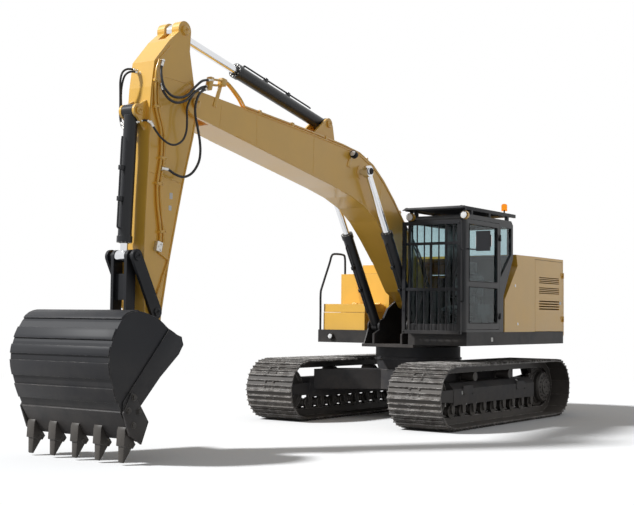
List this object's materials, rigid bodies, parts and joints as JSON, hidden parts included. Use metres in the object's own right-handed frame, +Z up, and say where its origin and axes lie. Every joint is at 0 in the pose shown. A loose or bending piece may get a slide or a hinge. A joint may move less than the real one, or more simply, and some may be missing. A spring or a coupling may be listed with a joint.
{
  "type": "crawler excavator",
  "caption": "Tracked excavator with a slewing upper structure, guarded cab, one-piece boom, arm, toothed bucket and their hydraulic cylinders.",
  "frame": {"origin": "on the ground, under the swing axis", "axes": "+X forwards, towards the boom and bucket; +Y to the machine's left, the cab side; +Z up"},
  "size_m": [9.9296, 3.331, 4.8169],
  "materials": {
    "yellow_paint": "gloss warm yellow paint",
    "black_paint": "satin black paint",
    "track_steel": "dark steel, worn bright on the edges",
    "chrome_rod": "polished",
    "pane": "clear, slightly tinted",
    "seat_fabric": "woven",
    "black_plastic": "matte",
    "amber_lens": "clear amber"
  },
  "bodies": {
    "undercarriage": {"carbody": "black_paint", "swing_bearing": "black_paint", "left_side_frame": "black_paint", "right_side_frame": "black_paint", "left_track": "track_steel", "right_track": "track_steel", "idlers": "track_steel", "sprockets": "track_steel", "left_rollers": "track_steel", "right_rollers": "track_steel"},
    "upper": {"revolving_frame": "black_paint", "counterweight": "yellow_paint", "engine": "track_steel", "housing": "yellow_paint", "fuel_tank": "yellow_paint", "hydraulic_tank": "yellow_paint", "storage_box": "yellow_paint", "handrails": "black_paint", "cab_shell": "black_paint", "cab_glass": "pane", "operator_seat": "seat_fabric", "controls": "black_plastic", "front_guard": "black_paint", "roof_guard": "black_paint", "side_mirror": "black_plastic", "beacon": "amber_lens"},
    "hood": {"engine_hood": "yellow_paint"},
    "left_door": {"left_rear_door": "yellow_paint"},
    "right_door": {"right_rear_door": "yellow_paint"},
    "lid": {"storage_lid": "yellow_paint"},
    "cab_door": {"cab_door": "black_paint", "cab_door_glass": "pane"},
    "boom": {"boom": "yellow_paint", "boom_pipes": "yellow_paint"},
    "arm": {"arm": "yellow_paint"},
    "bucket": {"bucket": "black_paint", "bucket_teeth": "track_steel"},
    "boom_barrels": {"boom_cylinder_barrels": "black_paint"},
    "boom_rods": {"boom_cylinder_rods": "chrome_rod"},
    "arm_barrel": {"arm_cylinder_barrel": "black_paint"},
    "arm_rod": {"arm_cylinder_rod": "chrome_rod"},
    "bucket_barrel": {"bucket_cylinder_barrel": "black_paint"},
    "bucket_rod": {"bucket_cylinder_rod": "chrome_rod"},
    "rocker": {"rocker": "black_paint"},
    "link": {"h_link": "black_paint"}
  },
  "joints": [
    {"name": "swing", "type": "hinge", "parent": "undercarriage", "child": "upper", "pos_m": [0, 0, 0.98], "axis": [0, 0, 1], "continuous": true},
    {"name": "boom_lift", "type": "hinge", "parent": "upper", "child": "boom", "pos_m": [0.15, 0, 1.79], "axis": [0, -1, 0], "range_deg": [-68, 42]},
    {"name": "arm_crowd", "type": "hinge", "parent": "boom", "child": "arm", "pos_m": [5.4507, 0, 3.89941], "axis": [0, 1, 0], "range_deg": [-68, 45]},
    {"name": "bucket_curl", "type": "hinge", "parent": "arm", "child": "bucket", "pos_m": [6.04074, 0, 1.10911], "axis": [0, 1, 0], "range_deg": [-6, 165]},
    {"name": "boom_cylinder_tilt", "type": "hinge", "parent": "upper", "child": "boom_barrels", "pos_m": [0.66, 0, 1.36], "axis": [0, 1, 0], "range_deg": [-43.84, 70.36]},
    {"name": "boom_rod_slide", "type": "slide", "parent": "boom_barrels", "child": "boom_rods", "axis": [0.5298, 0, 0.8481], "range_m": [-0.6711, 0.4183]},
    {"name": "arm_cylinder_tilt", "type": "hinge", "parent": "boom", "child": "arm_barrel", "pos_m": [2.63029, 0, 4.07394], "axis": [0, 1, 0], "range_deg": [-4.4, 3.25]},
    {"name": "arm_rod_slide", "type": "slide", "parent": "arm_barrel", "child": "arm_rod", "axis": [0.9776, 0, 0.2107], "range_m": [-0.8372, 0.5574]},
    {"name": "bucket_cylinder_tilt", "type": "hinge", "parent": "arm", "child": "bucket_barrel", "pos_m": [6.26055, 0, 3.69963], "axis": [0, 1, 0], "range_deg": [-2.11, 1.04]},
    {"name": "bucket_rod_slide", "type": "slide", "parent": "bucket_barrel", "child": "bucket_rod", "axis": [0.0455, 0, -0.999], "range_m": [-0.0509, 1.134]},
    {"name": "rocker_swing", "type": "hinge", "parent": "arm", "child": "rocker", "pos_m": [6.01741, 0, 1.51915], "axis": [0, 1, 0], "range_deg": [-5.13, 114.6]},
    {"name": "link_swing", "type": "hinge", "parent": "rocker", "child": "link", "pos_m": [6.33289, 0, 2.11249], "axis": [0, 1, 0], "range_deg": [-50.7, 2.81]},
    {"name": "cab_door_hinge", "type": "hinge", "parent": "upper", "child": "cab_door", "pos_m": [0.022, 1.386, 2], "axis": [0, 0, 1], "range_deg": [0, 165]},
    {"name": "hood_hinge", "type": "hinge", "parent": "upper", "child": "hood", "pos_m": [-1.22, 0, 2.471], "axis": [0, 1, 0], "range_deg": [0, 55]},
    {"name": "left_door_hinge", "type": "hinge", "parent": "upper", "child": "left_door", "pos_m": [-2.2727, 1.386, 1.9], "axis": [0, 0, 1], "range_deg": [0, 100]},
    {"name": "right_door_hinge", "type": "hinge", "parent": "upper", "child": "right_door", "pos_m": [-2.2727, -1.386, 1.9], "axis": [0, 0, -1], "range_deg": [0, 100]},
    {"name": "lid_hinge", "type": "hinge", "parent": "upper", "child": "lid", "pos_m": [0.085, -0.935, 1.706], "axis": [0, -1, 0], "range_deg": [0, 80]}
  ],
  "couplings": [
    {"joint": "boom_cylinder_tilt", "follows": "boom_lift", "ratio": -1.02},
    {"joint": "boom_rod_slide", "follows": "boom_lift", "m_per_rad": 0.557},
    {"joint": "arm_cylinder_tilt", "follows": "arm_crowd", "ratio": 0.05},
    {"joint": "arm_rod_slide", "follows": "arm_crowd", "m_per_rad": 0.697},
    {"joint": "bucket_cylinder_tilt", "follows": "bucket_curl", "ratio": -0.0067},
    {"joint": "bucket_rod_slide", "follows": "bucket_curl", "m_per_rad": 0.3903},
    {"joint": "rocker_swing", "follows": "bucket_curl", "ratio": 0.6885},
    {"joint": "link_swing", "follows": "bucket_curl", "ratio": -0.3012}
  ]
}
